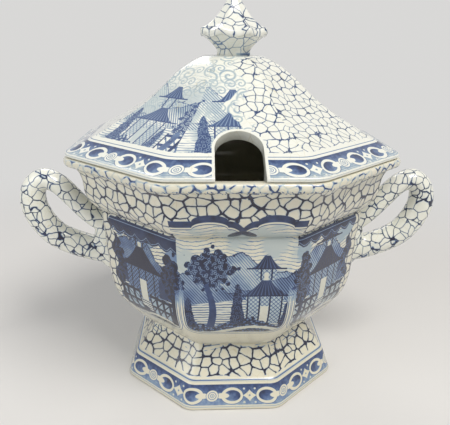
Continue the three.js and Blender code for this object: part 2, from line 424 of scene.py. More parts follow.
def makePebbles(dimensions):
    # irregular rounded cells between dark lines, with clusters of petals where some of them meet
    tree, s, given = newGroup("pebbleCells" + dimensions, Point="Vector", Size="Float", Line="Float",
                              Bloom="Float")
    drift = s.vector("SUBTRACT", s.noise(given["Point"], 0.16, 2.0, output="Color"), (0.5, 0.5, 0.5))
    wobble = (pebbles["wobble"] * 3,) * 3
    point = s.vector("MULTIPLY_ADD", drift.outputs[0], wobble, given["Point"]).outputs[0]
    scale = 1.0 / given["Size"]
    edge = s.cells(point, scale, "DISTANCE_TO_EDGE", dimensions, pebbles["randomness"]) * given["Size"]
    heart = s.cells(point, scale, "F1", dimensions, pebbles["randomness"])
    corner = s.most(heart - 0.42, 0.0) * given["Size"] * pebbles["rounding"][dimensions]
    gap = edge - corner * given["Line"]
    vary = s.noise(given["Point"], 0.12, 1.0)
    width = given["Line"] * (0.25 + vary * 0.5)
    line = s.below(gap, width, 0.2) * (0.95 + vary * 0.3)
    start = pebbles["clusterFrom"][dimensions] - vary * given["Bloom"] * 0.5
    cluster = s.above(heart, start, 0.06)
    petal = s.cells(point, scale * pebbles["petals"], "F1", dimensions, 0.85)
    pale = s.below(petal, 0.38, 0.12) * 0.9
    filled = cluster * (0.98 - pale)
    halo = s.below(gap, given["Line"] * 1.4, 0.8) * 0.09
    endGroup(s, s.most(line, filled, halo))
    return tree


def cellPrint(s, tree, point, settings):
    return s.group(tree, Point=point, Size=settings["cellSize"], Line=settings["lineWidth"],
                   Bloom=settings["bloom"])


border = {
    "period": 34.07,       # from one rosette to the next, with two ovals and a star between them
    "ground": 5.05,        # half the height of the blue ground
    "drop": 0.5,           # the motifs' middle below the ground's
    "groundTone": 0.84,
    "blotches": 0.6,       # how far the ink's depth wanders
    "thinBelow": -2.2,     # the ground's foot, where the ink runs thin and shows strokes
    "strokePitch": 0.9,
    "ovalAt": 9.0,         # from the rosette's middle
    "ovalLong": 5.0,
    "ovalHigh": 4.0,
    "ovalTone": 0.7,
    "ring": 1.35,
    "budAt": 4.6,          # a bud reaches from the rosette into the oval
    "budLong": 3.1,
    "budHigh": 1.35,
    "rosette": 2.7,
    "rosetteRings": ((2.8, 0.2, 0.6), (1.75, 0.26, 0.62), (0.85, 0.24, 0.55)),   # radius, width and ink
    "rosetteHeart": 0.3,
    "starLong": 3.3,
    "starHigh": 2.9,
    "starHeart": 0.45,
    "dotAt": (2.5, 3.3),   # beside the star's middle and above it
    "dot": 0.5,
    "edgeLines": ((6.55, 0.34, 0.6), (-5.8, 0.22, 0.4)),   # height, width and ink
}


def makeBorder():
    # linked ovals, ringed rosettes and four-pointed stars, white on a blue ground
    tree, s, given = newGroup("ovalBorder", Along="Float", Across="Float", Fade="Float", Point="Vector")
    along = abs(s.repeat(given["Along"], border["period"]))
    level = given["Across"]
    across = level + border["drop"]
    high = abs(across)
    flow = (s.noise(given["Point"], 0.5, 3.0) - 0.5) * border["blotches"]
    tone = border["groundTone"] + (level - border["ground"]) * given["Fade"] + flow
    strokes = s.line(s.repeat(level + flow, border["strokePitch"]), 0.0, 0.3, 0.3)
    tone = s.most(tone, strokes * s.below(level, border["thinBelow"], 1.5) * 0.5)
    centre = along - border["ovalAt"]
    oval = s.reach(centre / border["ovalLong"], across / border["ovalHigh"])
    tone = s.most(tone, s.line(oval, 1.03, 0.06, 0.06) * 0.85)
    tone = s.lay(tone, 0.0, s.below(oval, 1.0, 0.08))
    inner = s.reach((centre - 0.2) / (border["ovalLong"] - border["ring"]),
                    across / (border["ovalHigh"] - border["ring"]))
    deepening = across * 0.06 + centre * 0.05
    tone = s.lay(tone, border["ovalTone"] + flow + deepening, s.below(inner, 1.0, 0.1))
    bud = s.reach((along - border["budAt"]) / border["budLong"], across / border["budHigh"])
    tone = s.lay(tone, 0.0, s.below(bud, 1.0, 0.15))
    rose = s.reach(along, across)
    tone = s.lay(tone, 0.0, s.below(rose, border["rosette"], 0.25))
    for radius, width, ink in border["rosetteRings"]:
        tone = s.most(tone, s.line(rose, radius, width, width) * ink)
    tone = s.most(tone, s.below(rose, border["rosetteHeart"], 0.25) * 0.5)
    fromStar = abs(along - border["period"] / 2)
    star = (s.math("POWER", fromStar / border["starLong"], 0.8)
            + s.math("POWER", high / border["starHigh"], 0.8))
    tone = s.lay(tone, 0.0, s.below(star, 1.0, 0.12))
    tone = s.most(tone, s.below(s.reach(fromStar, across), border["starHeart"], 0.3) * 0.4)
    beside, above = border["dotAt"]
    tone = s.lay(tone, 0.05, s.below(s.reach(fromStar - beside, high - above), border["dot"], 0.3))
    # the ground ends in a white edge with a thin line beyond it
    tone = tone * s.below(abs(level), border["ground"], 0.2)
    for height, width, ink in border["edgeLines"]:
        tone = s.most(tone, s.line(level, height, width, 0.3) * ink)
    endGroup(s, tone)
    return tree


lakeside = {
    "period": 94.53,       # a quarter of the way round the bowl
    "farHills": 79.0,
    "nearHills": 70.0,
    "water": 60.5,
    "shore": 50.5,
    "path": 44.5,
    "fenceAt": 35.0,
    "fenceHalf": 8.8,
    "fencePitch": 4.4,
    "fence": (47.5, 58.5),
    "rails": ((57.4, 1.5), (52.0, 1.4)),
    # x, and for each floor: half width, foot and top of the wall, half width and top of the roof
    "lodges": (
        (12.5, ((8.2, 49.0, 64.0, 12.5, 72.5), (4.2, 71.5, 77.0, 7.6, 83.0))),
        (47.26, ((10.5, 54.0, 70.0, 16.0, 82.0), (5.0, 80.5, 84.0, 9.0, 89.5))),
    ),
    "trees": (             # x of the trunk, foot, crown's height, half width and half height
        (-12.0, 47.0, 77.0, 10.5, 9.5),
        (29.5, 46.0, 70.0, 5.5, 14.0),
        (-29.5, 46.0, 72.0, 6.0, 12.0),
    ),
    "cypresses": ((0.6, 49.0, 70.0, 2.9), (-21.0, 47.0, 64.0, 2.4), (22.6, 47.0, 61.0, 2.2)),
}


def drawLodge(s, tone, x, z, at, floors):
    # trellised walls with dark posts under tiled roofs that curl up at the eaves
    left = s.repeat(x - at, lakeside["period"])
    side = abs(left)
    trellis = s.most(*(s.line(s.repeat(slant, 2.0), 0.0, 0.42, 0.25) for slant in (left + z, left - z)))
    posts = s.line(s.repeat(side, 5.2), 2.6, 1.4, 0.25)
    for half, sill, top, eaves, ridge in floors:
        wall = s.below(side, half, 0.3) * s.between(z, sill, top, 0.3)
        tone = s.lay(tone, s.most(0.2 + trellis * 0.55, posts), wall)
        lift = (z - top) / (ridge - top)
        edge = eaves - s.math("SQRT", s.most(lift, 0.0)) * (eaves - 1.2)
        roof = s.below(side, edge, 0.4) * s.between(z, top, ridge, 0.3)
        tiles = s.line(s.repeat(side / s.most(1.2 - lift, 0.3), 1.5), 0.0, 0.4, 0.3)
        tone = s.lay(tone, 0.98 - tiles * 0.3, roof)
        tone = s.most(tone, s.line(z, top, 0.7, 0.25) * s.below(side, eaves + 0.8, 0.3))
        door = s.below(side, half * 0.22, 0.25) * s.between(z, sill, sill + (top - sill) * 0.66, 0.3)
        tone = s.lay(tone, 0.05, door)
    return tone


def makeLakeside():
    # a lake shore with hills, trees, lodges and a fence, in washes and engraved lines
    tree, s, given = newGroup("lakeside", Along="Float", Height="Float", Point="Vector")
    period = lakeside["period"]
    x = s.repeat(given["Along"], period)
    z = given["Height"]
    rough = s.noise(given["Point"], 0.4, 4.0)
    calm = s.noise(given["Point"], 0.08, 2.0)
    fine = rough - 0.5
    # sky, with a wash in places and thin broken lines of cloud
    drift = z + s.wave(x, period / 4, 0.9) + fine * 1.6
    cloud = s.line(s.repeat(drift, 1.7), 0.0, 0.26, 0.3)
    tone = s.below(calm, 0.46, 0.16) * 0.16 + cloud * s.above(calm, 0.44, 0.1) * 0.55
    # two ridges of hills in hatching, the nearer one darker
    hatch = s.line(s.repeat(x + z * 0.8 + fine * 0.5, 1.25), 0.0, 0.5, 0.3)
    shade = s.above(calm, 0.5, 0.2) * 0.2
    for base, waves, ground, lines in (("farHills", (5.0, 2.0, 6, 1.4), 0.14, 0.36),
                                       ("nearHills", (4.5, 4.4, 8, 1.0), 0.32, 0.46)):
        swell, start, count, bumps = waves
        ridge = lakeside[base] + s.wave(x, period / 2, swell, start)
        ridge = ridge + s.wave(x, period / count, bumps) + fine * 4.0
        tone = s.lay(tone, ground + shade + hatch * lines, s.below(z, ridge, 0.4))
        tone = s.most(tone, s.line(z, ridge, 0.5, 0.3) * 0.95)
    # the lake, in level strokes
    water = lakeside["water"] + s.wave(x, period, 1.6, 1.0)
    stroke = s.line(s.repeat(z + fine * 0.6, 1.3), 0.0, 0.4, 0.3)
    broken = s.above(s.noise(s.point(x * 0.12, z), 0.8, 2.0), 0.42, 0.08)
    tone = s.lay(tone, 0.06 + stroke * broken * 0.75, s.below(z, water, 0.3))
    for at, floors in lakeside["lodges"]:
        tone = drawLodge(s, tone, x, z, at, floors)
    # the near bank, dark with pale tufts, and a path through it
    bank = lakeside["shore"] + s.wave(x, period / 3, 2.4, 0.6) + fine * 6.0
    tufts = s.below(s.cells(s.point(x, z), 0.6, "F1"), 0.3, 0.2)
    tone = s.lay(tone, 1.0 - tufts * rough * 0.9, s.below(z, bank, 0.4))
    path = lakeside["path"] + s.wave(x, period / 2, 2.2, 0.4) + fine * 1.4
    tone = s.lay(tone, 0.04, s.line(z, path, 2.2, 0.5))
    tone = s.most(tone, s.line(z, path - 1.8, 0.4, 0.3) * 0.8)
    # a fence on the bank, left and right of the seam
    off = abs(x) - lakeside["fenceAt"]
    zone = s.below(abs(off), lakeside["fenceHalf"], 0.3) * s.between(z, *lakeside["fence"], 0.3)
    pales = s.line(s.repeat(off, lakeside["fencePitch"]), 0.0, 1.5, 0.25)
    rails = [s.line(z, height, width, 0.25) for height, width in lakeside["rails"]]
    brace = s.line(s.repeat(off + z, lakeside["fencePitch"]), 0.0, 0.8, 0.25)
    tone = s.lay(tone, s.most(0.12 + pales, *rails, brace * 0.8), zone)
    # trees: bent trunks and round clumps of leaves
    clumps = s.cells(s.point(x, z), 0.26, "F1", "2D", 0.8)
    leaves = s.cells(s.point(x, z), 0.62, "F1", "2D", 0.9)
    leaf = 1.0 - s.line(leaves, 0.3, 0.16, 0.14) * s.above(clumps, 0.22, 0.2) * 0.62
    for at, sill, crownAt, wide, tall in lakeside["trees"]:
        lean = at + s.math("SINE", (z - sill) * 0.16) * 1.8
        thick = 1.9 - (z - sill) * 0.035
        trunk = s.below(abs(x - lean), thick, 0.35) * s.between(z, sill, crownAt, 0.5)
        tone = s.lay(tone, 1.0 - rough * 0.3, trunk)
        crown = s.reach((x - (at + 1.0)) / wide, (z - crownAt) / tall)
        shape = crown + (clumps - 0.4) * 0.85 + fine * 0.4
        tone = s.lay(tone, leaf, s.below(shape, 0.92, 0.06))
    for at, sill, top, half in lakeside["cypresses"]:
        share = (z - sill) / (top - sill)
        width = s.math("SQRT", s.most(1.0 - share, 0.0)) * half * 1.15
        ragged = width + fine * 2.4
        spire = s.below(abs(x - at), ragged, 0.3) * s.between(z, sill, top, 0.3)
        tone = s.lay(tone, 1.0 - s.line(leaves, 0.34, 0.1, 0.1) * 0.4, spire)
    endGroup(s, tone)
    return tree


def startMaterial(name):
    material = bpy.data.materials.new(name)
    material.use_nodes = True
    material.node_tree.nodes.clear()
    return material, Sketch(material.node_tree)


glazing = {
    "crazeSize": 4.2,      # millimetres between the fine cracks in the glaze
    "crazeTint": (0.90, 0.86, 0.77),
    "poolTint": (0.93, 0.95, 0.86),
    "speckSize": 9.0,
    "speckColour": (0.16, 0.10, 0.055),
}


def fireGlaze(s, tone, glazeColour):
    # ink under the glaze: from bare glaze over pale and mid blue to the darkest line
    spot = s.place()[0]
    uneven = tone * (0.82 + s.noise(spot, 0.12, 3.0) * 0.3)
    colour = s.ramp(uneven, (0, glazeColour), (0.22, inks["wash"]), (0.45, inks["pale"]),
                    (0.72, inks["mid"]), (1, inks["deep"]))
    # the glaze pools a little greener from place to place, and is crazed in patches
    pools = s.noise(spot, 0.045, 2.0) * 0.7
    cracks = s.below(s.cells(spot, 1 / glazing["crazeSize"], "DISTANCE_TO_EDGE", "3D"), 0.014, 0.014)
    cracks = cracks * s.above(s.noise(spot, 0.035, 1.0), 0.5, 0.15)
    colour = s.tint(colour, pools, glazing["poolTint"], "MULTIPLY")
    colour = s.tint(colour, cracks, glazing["crazeTint"], "MULTIPLY")
    specks = s.below(s.cells(spot, 1 / glazing["speckSize"], "F1", "3D"), 0.022, 0.012) * 0.7
    swell = s.bump(s.noise(spot, 0.055, 2.0), 0.35, 0.0006)
    shader = s.node("ShaderNodeBsdfPrincipled", {
        "Base Color": s.tint(colour, specks, glazing["speckColour"]),
        "Roughness": 0.12 + s.noise(spot, 0.16, 2.0) * 0.12,
        "Normal": s.bump(s.noise(spot, 0.9, 3.0) + specks * -1.5, 0.14, 0.0001, swell),
    })
    shader.inputs["IOR"].default_value = 1.5
    shader.inputs["Coat Weight"].default_value = 0.4
    shader.inputs["Coat Roughness"].default_value = 0.05
    s.finish(shader)


def plainGlaze(name, glazeColour):
    material, s = startMaterial(name)
    fireGlaze(s, s.noise(s.place()[0], 0.03) * 0.03, glazeColour)
    return material


clay = {
    "dark": (0.42, 0.34, 0.24),
    "light": (0.62, 0.55, 0.43),
}


def bareClay():
    material, s = startMaterial("bareClay")
    spot = s.place()[0]
    s.finish(s.node("ShaderNodeBsdfPrincipled", {
        "Base Color": s.ramp(s.noise(spot, 0.4, 5.0), (0, clay["dark"]), (1, clay["light"])),
        "Roughness": 0.78 + s.noise(spot, 0.8) * 0.15,
        "Normal": s.bump(s.noise(spot, 1.5, 4.0), 0.4, 0.0002),
    }))
    return material


pebbles2d = makePebbles("2D")
pebbles3d = makePebbles("3D")
ovalBorder = makeBorder()
lakesideScene = makeLakeside()
print("patterns drawn")


bowl = {
    "outside": (
        (37.8, 28.0), (52.2, 44, (0.4, 0.21), 14), (57.7, 61.5, (0.87, 0.33), 12), (59.4, 88.4),
        (59.3, 89.6, (1, 0.3), 4), (58.4, 90.8, (0.1, 0.6), 4), (65.8, 101, (0.83, 0.36), 14),
        (70.8, 112.6, (0.02, 0.85), 14), (72.8, 114.6, (1, 0), 6), (71.0, 116.4, (0, 1), 6)),
    "inside": (
        (71.0, 116.4), (68.2, 116.4), (67.2, 115.4, (1, 0), 4), (65.6, 111.7),
        (61.2, 101, (0.98, 0.15), 8), (53.6, 88.8, (0.17, 0.64), 10), (53.1, 61.5),
        (48.9, 47.3, (0.13, 0.67), 10), (33.2, 33.7, (0.6, 0.79), 12), (4.0, 33.7)),
    "longestFace": 2.6,
    "wrapHalf": 60.0,
    "cellSize": 4.4,
    "lineWidth": 0.44,
    "bloom": 0.72,
    "cellFoot": 40.0,
    "printFoot": 37.2,
    "rimFoot": 112.2,      # from here up the print is worn and blurred
    "rimTop": 116.0,
    "rim": {"cellSize": 3.6, "lineWidth": 0.6, "bloom": 0.2},
    "rimStrokes": (111.6, 1.9, 0.6),   # height, pitch and slant
    "printOver": 1.5,      # the print reaches this far over the rim
    "scallop": 100.1,      # height of the scalloped edge's shoulders on the front facet
    "scallopShift": 1.7,   # its middle stands to the right
    "bumpAt": 12.7,
    "bumpHalf": 7.0,
    "bumpHigh": 2.5,
    "notchHalf": 5.2,
    "notchDeep": 3.4,
    "band": 3.0,
    "ledge": 90.4,
    "inkAndPaintedShade": (0.12, 0.18),   # ink added on the slanting panels, and more on the left ones: partly deeper print, partly painted shade
    "valance": 2.4,
    "swag": (7.2, 2.0),      # width and depth
    "leftDeeper": 2.2,     # how much deeper the valance is on the left
    "leafAt": (2.4, 6.0),    # beside the scallop's middle and below its shoulders
    "leafSize": (3.4, 1.5),
    "frameFoot": 42.2,
    "frameRound": 7.0,
    "frameInset": 1.3,
    "frameLines": ((-0.25, 0.34, 0.85), (1.0, 0.26, 0.7)),   # place outside the frame, width and ink
    "frameFade": (64.0, 16.0),
    "cellMargin": 6.5,     # width of the cells beside the handles, on the slanting facets
    "marginWave": (13.0, 1.6),
}


def bowlMaterial():
    material, s = startMaterial("bowlPrint")
    around, up = s.uvParts("wrap")
    across, wide = s.uvParts("facet")
    spot, x0, _, z = s.place()
    number = s.facetNumber()
    lean = s.repeat(number, 4.0)
    front = s.line(lean, 0.0, 1.0, 0.1)
    end = s.line(abs(lean), 2.0, 1.0, 0.1)   # the two facets under the handles
    sheet = s.point(around, up)
    cellTone = cellPrint(s, pebbles2d, sheet, bowl)
    # on the rolled rim the cells blur, over a row of short slanted strokes
    rimFoot = bowl["rimFoot"] + s.noise(spot, 0.3)
    blurred = cellPrint(s, pebbles2d, sheet, bowl["rim"])
    worn = 0.08 + s.above(s.noise(spot, 0.14, 2.0), 0.5, 0.3) * 0.12
    worn = worn + s.above(s.noise(spot, 0.28, 1.0), 0.52, 0.12) * 0.6
    strokesFrom, pitch, slant = bowl["rimStrokes"]
    slanted = around + z * slant + s.noise(spot, 0.4) * 5.0
    strokes = s.line(s.repeat(slanted, pitch), 0.0, 0.6, 0.4)
    strokes = strokes * s.above(s.noise(spot, 0.55, 1.0), 0.46, 0.1)
    strokes = strokes * s.between(z, strokesFrom, rimFoot + 0.9, 0.5)
    cellTone = s.lay(cellTone, blurred * worn, s.above(z, rimFoot, 0.7))
    cellTone = s.most(cellTone, strokes * 0.95) * s.below(z, bowl["rimTop"], 1.0)
    # edge of the panels: in front shoulders and bumps about a notch, along the ledge beside it
    x = abs(across)
    aside = abs(across - bowl["scallopShift"])
    bump = (aside - bowl["bumpAt"]) / bowl["bumpHalf"]
    bump = s.math("SQRT", s.most(1.0 - bump * bump, 0.0))
    notch = s.most(1.0 - aside / bowl["notchHalf"], 0.0)
    arch = bowl["scallop"] + bump * bowl["bumpHigh"] - notch * notch * bowl["notchDeep"]
    crest = s.lay(bowl["ledge"], arch, front)
    depth = crest - z
    towardsEnd = across * lean
    panelEnd = wide - (bowl["cellMargin"] + s.wave(z, *bowl["marginWave"]))
    inPanel = s.above(depth, 0.0, 0.3) * (1.0 - end)
    inPanel = inPanel * s.below(towardsEnd, panelEnd, 0.4)
    scene = s.group(lakesideScene, Along=around, Height=z, Point=spot)
    # the ink on the slanting panels is deepened, the left ones most: partly deeper print, partly painted
    # shade on the side away from the light
    leftSide = s.below(x0, 0.0, 10.0)
    extra, leftPaintedShade = bowl["inkAndPaintedShade"]
    inkAndPaintedShade = (1.0 - front) * (extra + leftSide * leftPaintedShade)
    scene = scene + inkAndPaintedShade * s.above(scene, 0.12, 0.1)
    inside = s.above(depth, bowl["band"] + 0.8, 0.3)
    scene = scene * s.most(inside, 1.0 - front)
    shade = 0.66 + s.noise(spot, 0.25, 3.0) * 0.5
    scallop = s.between(depth, 0.0, bowl["band"], 0.3) * shade * front
    thin = s.line(depth, bowl["band"] + 1.0, 0.35, 0.25) * 0.8 * front
    # a dark valance with scalloped foot hangs over the slanting panels
    swagWide, swagDeep = bowl["swag"]
    swag = abs(s.math("SINE", (across + 1.0) * (math.pi / swagWide))) * swagDeep
    dark = bowl["valance"] + swag + leftSide * bowl["leftDeeper"] + s.noise(spot, 0.3) * 1.6
    cord = s.most(s.line(depth, 1.1, 0.3, 0.25), s.line(depth, dark - 0.9, 0.3, 0.25)) * 0.62
    brow = s.below(depth, dark, 0.4) * (0.97 - cord) * (1.0 - front)
    scene = scene * s.most(front, s.above(depth, dark, 0.4))
    # two dark leaves hang from the notch
    leafBeside, leafBelow = bowl["leafAt"]
    leafLong, leafHigh = bowl["leafSize"]
    fallen = z - (bowl["scallop"] - leafBelow) + aside * 0.36
    leaves = s.below(s.reach((aside - leafBeside) / leafLong, fallen / leafHigh), 1.0, 0.15) * front
    scene = s.most(scene, scallop, thin, brow, leaves, s.line(towardsEnd, panelEnd, 0.5, 0.3) * 0.9)
    # rounded frame of two thin lines at the foot of the panel
    inset = s.most(x - (wide - (bowl["frameInset"] + bowl["frameRound"])), 0.0)
    drop = s.most(bowl["frameFoot"] + bowl["frameRound"] - z, 0.0)
    out = s.reach(inset, drop) - bowl["frameRound"]
    low = s.below(z, *bowl["frameFade"])
    scene = scene * (1.0 - s.above(out, -0.8, 0.25) * low)
    for beyond, width, ink in bowl["frameLines"]:
        scene = s.most(scene, s.line(out, beyond, width, 0.25) * low * ink)
    scene = scene * s.above(z, bowl["printFoot"], 0.5)
    cellTone = cellTone * s.above(z, bowl["cellFoot"] + s.noise(spot, 0.2) * 6.0, 0.6)
    fireGlaze(s, s.lay(cellTone, scene, inPanel), glazesWithPaintedLight["bowl"])
    return material


def makeBowl():
    outside = drawOutline(bowl["longestFace"], *bowl["outside"])
    inside = drawOutline(bowl["longestFace"], *bowl["inside"])
    bm = turnedPiece(outside + inside[1:])
    walk = bm.verts.layers.float["walk"]
    printEnd = lengthOf(outside) + bowl["printOver"]
    for face in bm.faces:
        if sum(v[walk] for v in face.verts) / len(face.verts) > printEnd:
            face.material_index = 1
    finishPiece(bm, "bowlBody", "tureen", "bowl",
                [bowlMaterial(), plainGlaze("bowlInside", glazesWithPaintedLight["bowl"])], bowl["wrapHalf"])


foot = {
    "outside": (
        (50.9, 0.0), (52.3, 1.4, (1, 0), 5), (48.2, 12.6), (47.9, 13.3, (0.9, 0.2), 2),
        (46.8, 14.2, (0.1, 0.75), 3), (37.8, 28.0, (0.47, 0.45), 16), (37.0, 28.3)),
    "inside": (
        (37.0, 28.3), (32.6, 28.0), (45.9, 1.4, (0.35, 0.65), 12), (47.3, 0.0, (0.1, 0.8), 3),
        (50.9, 0.0)),
    "longestFace": 2.4,
    "wrapHalf": 50.1,
    "round": 315.6,        # millimetres round the foot at that half
    "motifs": 9,
    "cellSize": 5.6,
    "squash": 1.25,        # the sheet was stretched round the curve, so the cells are wider than tall
    "lineWidth": 0.56,
    "bloom": 0.78,
    "cells": (14.6, 24.3),   # heights between which they lie
    "strays": (24.0, 1.6),   # height and pitch of the broken lines above them
    "jointFrom": 28.05,    # from here up is the joint with the bowl, which has no print
    "borderShift": 25.3,
    "borderMiddle": 7.4,
    "borderSqueeze": 1.07,
    "border": (0.9, 13.4),
    "stepLine": 13.9,
    "fade": 0.048,
}


def footMaterial():
    material, s = startMaterial("footPrint")
    around, up = s.uvParts("wrap")
    spot, _, _, z = s.place()
    level = (z - foot["borderMiddle"]) * foot["borderSqueeze"]
    along = (around - foot["borderShift"]) * (border["period"] * foot["motifs"] / foot["round"])
    band = s.group(ovalBorder, Along=along, Across=level, Fade=foot["fade"], Point=spot)
    band = band * s.between(z, *foot["border"], 0.2)
    step = s.line(z, foot["stepLine"], 0.34, 0.3) * 0.7
    cellTone = cellPrint(s, pebbles2d, s.point(around, up * foot["squash"]), foot)
    low, high = foot["cells"]
    field = s.above(z, low + s.noise(spot, 0.25) * 1.4, 0.5)
    field = field * s.below(z, high + s.noise(spot, 0.16) * 6.5, 1.2)
    straysFrom, pitch = foot["strays"]
    stray = s.line(s.repeat(z + s.wave(around, 27.0, 0.5), pitch), 0.0, 0.25, 0.3)
    stray = stray * s.above(s.noise(spot, 0.12), 0.56, 0.05) * s.above(z, straysFrom) * 0.6
    fireGlaze(s, s.most(band, step, cellTone * field, stray), glazesWithPaintedLight["foot"])
    return material


def makeFoot():
    outside = drawOutline(foot["longestFace"], *foot["outside"])
    inside = drawOutline(foot["longestFace"], *foot["inside"])
    bm = turnedPiece(outside + inside[1:], closed=True)
    for face in bm.faces:
        centre = face.calc_center_median()
        inward = face.normal.x * centre.x + face.normal.y * centre.y < 0
        if centre.z < 0.1 * mm:
            face.material_index = 2
        elif inward or centre.z > foot["jointFrom"] * mm:
            face.material_index = 1
    finishPiece(bm, "pedestalFoot", "tureen", "foot",
                [footMaterial(), plainGlaze("footInside", glazesWithPaintedLight["foot"]), bareClay()], foot["wrapHalf"])


lid = {
    "inside": (
        (4.0, 153.3), (10.3, 152.8), (25.3, 144.5, (0.45, 0.22), 8), (41.3, 130.0, (0.52, 0.64), 12),
        (60.7, 118.4, (0.48, 0.53), 12), (60.7, 111.7), (63.3, 111.7), (64.1, 112.5, (1, 0), 3),
        (64.7, 116.7), (70.9, 116.7), (71.9, 117.7, (1, 0), 4)),
    "outside": (
        (71.9, 117.7), (70.9, 118.7, (0, 1), 4), (44, 133.8, (0.52, 0.47), 26),
        (28, 147.2, (0.48, 0.36), 16), (13, 156.6, (0.55, 0.78), 14), (6.0, 157.1)),
    "longestFace": 2.5,
    "edge": (71.9, 116.7),
    "wrapHalf": 68.0,
    "round": 428.37,       # millimetres round the lid at that half
    "motifs": 13,
    "cellSize": 3.9,
    "lineWidth": 0.2,
    "bloom": 0.64,
    "ink": 0.8,
    "borderShift": 11.0,
    "evenTo": 75.0,        # past this the border is squeezed, so that it closes at the back
    "borderMiddle": 5.9,   # up the slope from the lid's edge
    "border": (0.1, 13.2),
    "fade": 0.072,
    "printFrom": 14.2,
    "cellShift": 61.0,     # from one facet's cells to the next one's in the pattern
    "pictureTo": -7.0,     # on the front and the back the picture ends left of the middle
    "pictureShift": 14.0,
    "pictureFoot": 35.5,   # the height in the picture at the lid's edge
    "pictureScale": 0.95,
    "pictureLighter": 0.3,
    "curls": ((3.0, 11.0, 2.6), (0.0, 6.5, 1.7)),   # shift, size and pitch
    "curlInk": (0.1, 0.26),
    "curlsFrom": (34.0, 8.0),
    "notchWidth": 18.4,
    "notchTop": 129.9,
    "notchRound": 0.5,
    "notchMargin": 1.1,    # bare glaze round the notch
    "notchArea": (14, -40),   # half width, and the y that it lies in front of
    "cutter": (8, 16, 24),    # reach below the edge, start under the slope, and depth
}
slopeStart, slopeEnd = lid["outside"][1:3]
lid["slant"] = math.atan2(slopeEnd[1] - slopeStart[1],
                          (lid["edge"][0] - slopeEnd[0]) * plan["depthShare"])
lid["notchLength"] = (lid["notchTop"] - lid["edge"][1]) / math.sin(lid["slant"])


def lidMaterial(edgeWalk):
    material, s = startMaterial("lidPrint")
    around, up = s.uvParts("wrap")
    across, _ = s.uvParts("facet")
    spot, x, y, z = s.place()
    slope = up - edgeWalk
    squeeze = (lid["motifs"] * border["period"] - lid["round"]) / (lid["round"] - 2 * lid["evenTo"])
    past = s.most(abs(around) - lid["evenTo"], 0.0) * squeeze
    along = around + s.math("SIGN", around) * past
    band = s.group(ovalBorder, Along=along - lid["borderShift"], Across=slope - lid["borderMiddle"],
                   Fade=lid["fade"], Point=spot)
    band = band * s.between(slope, *lid["border"], 0.3)
    # pictures on two corner slopes and on part of the front and the back, cells elsewhere
    number = s.facetNumber()
    half = s.repeat(number, 4.0)
    whole = s.line(half, -1.0, 1.0, 0.1)
    ragged = lid["pictureTo"] + s.wave(slope, 23.0, 3.2) + s.noise(spot, 0.1) * 10.0
    shared = s.line(half, 0.0, 1.0, 0.1)
    picture = s.most(whole, shared * s.below(across, ragged, 0.8))
    cellTone = cellPrint(s, pebbles2d, s.point(across + number * lid["cellShift"], slope), lid)
    cellTone = cellTone * lid["ink"]
    # beside the picture the cells give way to bare glaze with pale curls
    clear = shared * s.below(across, ragged + 4.0, 3.0)
    curls = s.most(*(s.curls(across + shift, slope, size, pitch) for shift, size, pitch in lid["curls"]))
    faint, varying = lid["curlInk"]
    curls = curls * (faint + s.noise(spot, 0.1) * varying)
    cellTone = s.lay(cellTone, curls, clear)
    scene = s.group(lakesideScene, Along=across + lid["pictureShift"],
                    Height=slope * lid["pictureScale"] + lid["pictureFoot"], Point=spot)
    # printed lighter than on the bowl: the washes stay bare, the lines and masses turn mid blue
    scene = s.most(scene - lid["pictureLighter"], 0.0) * 1.05
    wash = s.above(s.noise(spot, 0.09, 2.0), 0.47, 0.1) * s.below(slope, 50.0, 12.0) * 0.15
    scene = s.most(scene, wash, curls * s.above(slope, *lid["curlsFrom"]))
    tone = s.lay(cellTone, scene, picture)
    tone = tone * s.above(slope, lid["printFrom"] + s.noise(spot, 0.4) * 1.2, 0.3)
    tone = s.most(tone, band)
    # bare glaze round the notch
    edgeHalf, edgeHeight = lid["edge"]
    rise = (y + edgeHalf * plan["depthShare"]) * math.cos(lid["slant"])
    rise = rise + (z - edgeHeight) * math.sin(lid["slant"])
    radius = lid["notchWidth"] / 2
    fromNotch = s.reach(x, s.most(rise - (lid["notchLength"] - radius), 0.0))
    tone = tone * s.most(s.above(fromNotch, radius + lid["notchMargin"], 0.3), s.above(y, 0.0))
    fireGlaze(s, tone, glazesWithPaintedLight["lid"])
    return material


def makeLid():
    inside = drawOutline(lid["longestFace"], *lid["inside"])
    outside = drawOutline(lid["longestFace"], *lid["outside"])
    points = inside + outside[1:]
    edgeWalk = lengthOf(inside)
    bm = turnedPiece(points)
    cutNotch(bm)
    mendWalk(bm, points)
    walk = bm.verts.layers.float["walk"]
    outward = Vector((0, -math.sin(lid["slant"]), math.cos(lid["slant"])))
    reach = (lid["notchWidth"] / 2 + 1.5) * mm
    before = lid["notchArea"][1] * mm
    for face in bm.faces:
        centre = face.calc_center_median()
        wall = abs(centre.x) < reach and centre.y < before and face.normal.dot(outward) < 0.4
        if wall or max(v[walk] for v in face.verts) < edgeWalk - 1.0:
            face.material_index = 1
    finishPiece(bm, "lidCover", "lid", "lid",
                [lidMaterial(edgeWalk), plainGlaze("lidInside", glazesWithPaintedLight["lid"])], lid["wrapHalf"])


